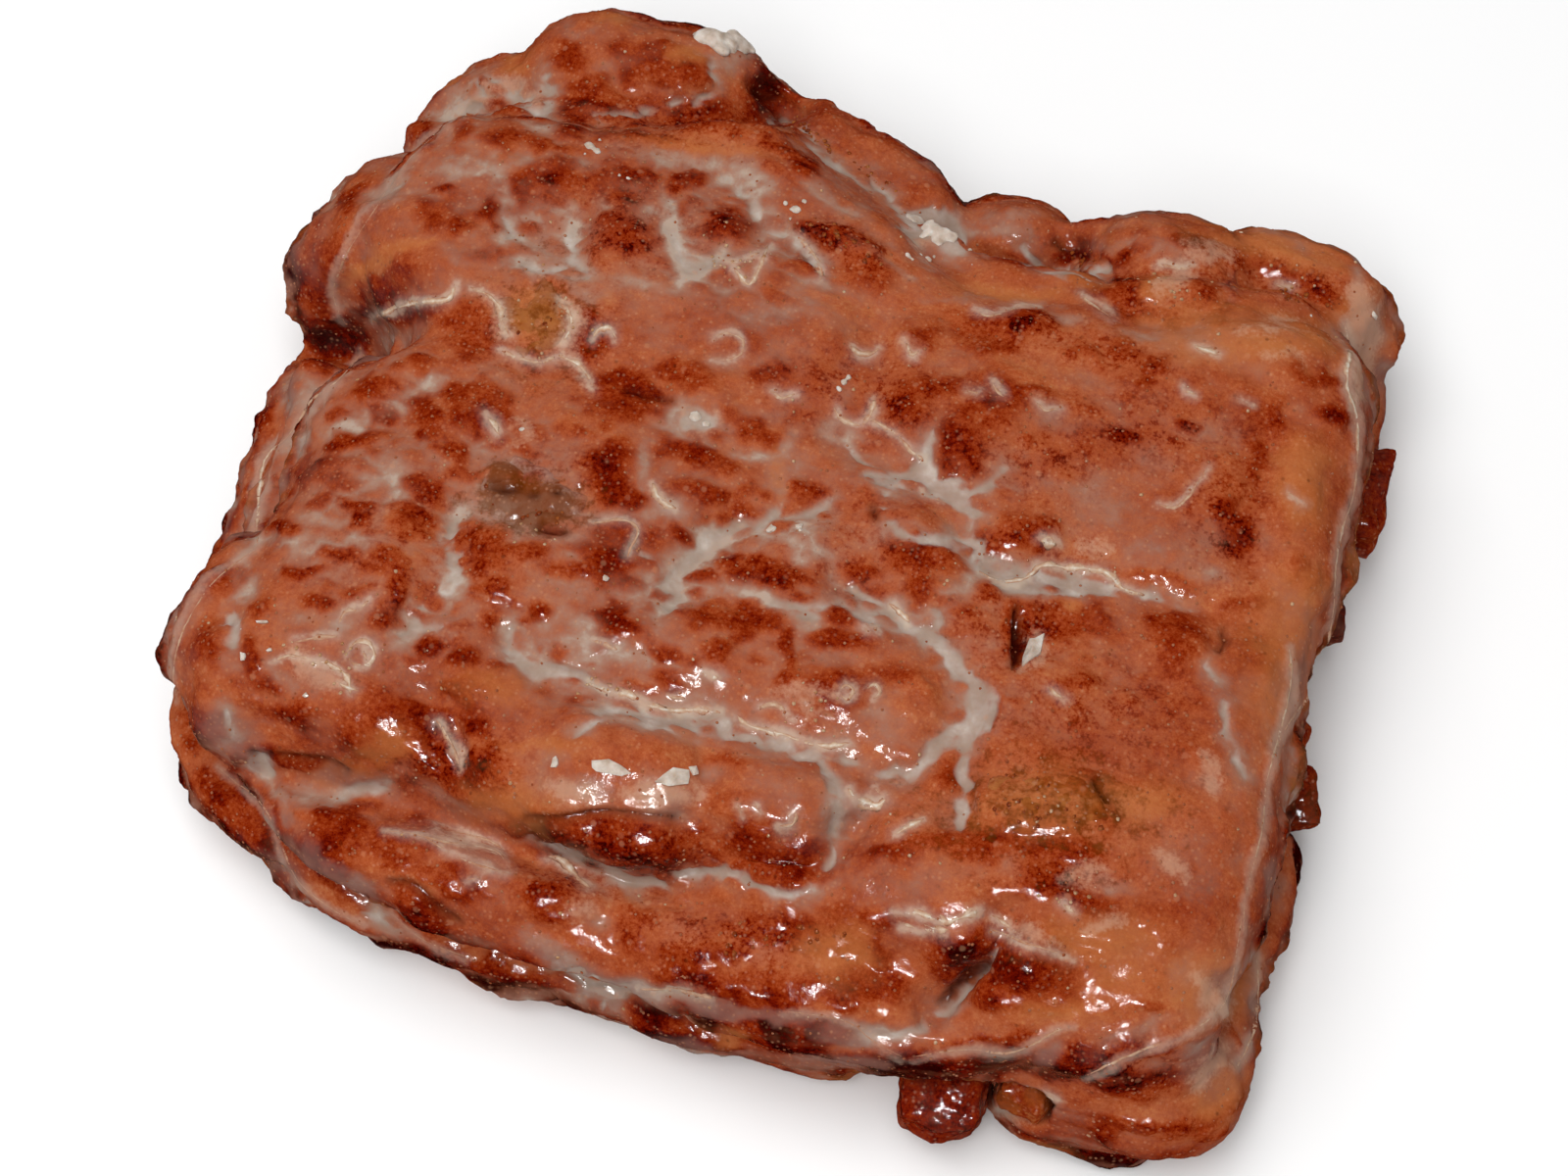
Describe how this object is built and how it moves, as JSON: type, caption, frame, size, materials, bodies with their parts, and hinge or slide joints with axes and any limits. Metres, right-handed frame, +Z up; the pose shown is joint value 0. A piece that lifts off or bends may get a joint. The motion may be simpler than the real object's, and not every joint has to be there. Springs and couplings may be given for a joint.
{
  "type": "apple fritter",
  "caption": "Glazed apple fritter: an oblong slab of fried dough pressed from rolls and chunks, lying flat, with diced apple in its top and sides.",
  "frame": {"origin": "under the middle of the fritter's bounding box, on the surface that it lies on", "axes": "+X along the long side, +Z up out of the glazed top, -Y towards the front edge with the rolled lobes"},
  "size_m": [0.131, 0.1152, 0.0334],
  "materials": {
    "fried_dough": "browned fried dough under a clear sugar glaze",
    "fried_apple": "diced apple, browned and glazed"
  },
  "bodies": {
    "root": {"fritter_dough": "fried_dough", "apple_front": "fried_apple", "apple_front_small": "fried_apple", "apple_right": "fried_apple", "apple_right_small": "fried_apple", "apple_slab_right": "fried_apple", "apple_side": "fried_apple", "apple_top_left": "fried_apple", "apple_top_front": "fried_apple", "apple_slice_back": "fried_apple"}
  },
  "joints": []
}
